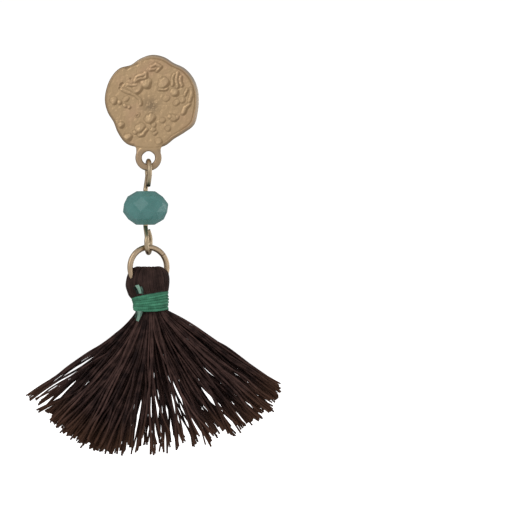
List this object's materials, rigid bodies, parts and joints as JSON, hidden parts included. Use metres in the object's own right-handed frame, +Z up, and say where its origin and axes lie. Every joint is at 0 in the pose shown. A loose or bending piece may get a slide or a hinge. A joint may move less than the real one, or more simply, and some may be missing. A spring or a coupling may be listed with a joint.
{
  "type": "tassel earring",
  "caption": "Drop earring: a cast disc on a straight post, with a faceted bead on an eye pin and a fanned thread tassel on a jump ring.",
  "frame": {"origin": "on the ear post's axis, where the post leaves the disc's back", "axes": "+X to the right seen from the front, +Y back along the post, +Z up; the disc faces -Y"},
  "size_m": [0.0444, 0.0244, 0.0708],
  "materials": {
    "disc_metal": "cast zinc alloy with a worn satin gold plating",
    "post_steel": "plain drawn steel wire",
    "wire_metal": "gold-plated wire, slightly worn",
    "bead_glass": "opaque cut glass, polished",
    "tassel_thread": "twisted dark brown thread",
    "binding_thread": "twisted green thread"
  },
  "bodies": {
    "stud": {"disc": "disc_metal", "ear_post": "post_steel"},
    "link": {"eye_pin": "wire_metal"},
    "bead": {"bead": "bead_glass"},
    "drop": {"jump_ring": "wire_metal", "tassel": "tassel_thread", "binding": "binding_thread"}
  },
  "joints": [
    {"name": "link_sway", "type": "hinge", "parent": "stud", "child": "link", "pos_m": [0, -0.00075, -0.01575], "axis": [0, 1, 0], "range_deg": [-45, 45]},
    {"name": "bead_spin", "type": "hinge", "parent": "link", "child": "bead", "pos_m": [-0.0005, -0.00075, -0.02458], "axis": [0, 0, 1], "continuous": true},
    {"name": "drop_swing", "type": "hinge", "parent": "link", "child": "drop", "pos_m": [0, -0.00075, -0.0315], "axis": [0.9063, 0.4226, 0], "range_deg": [-75, 75]}
  ]
}
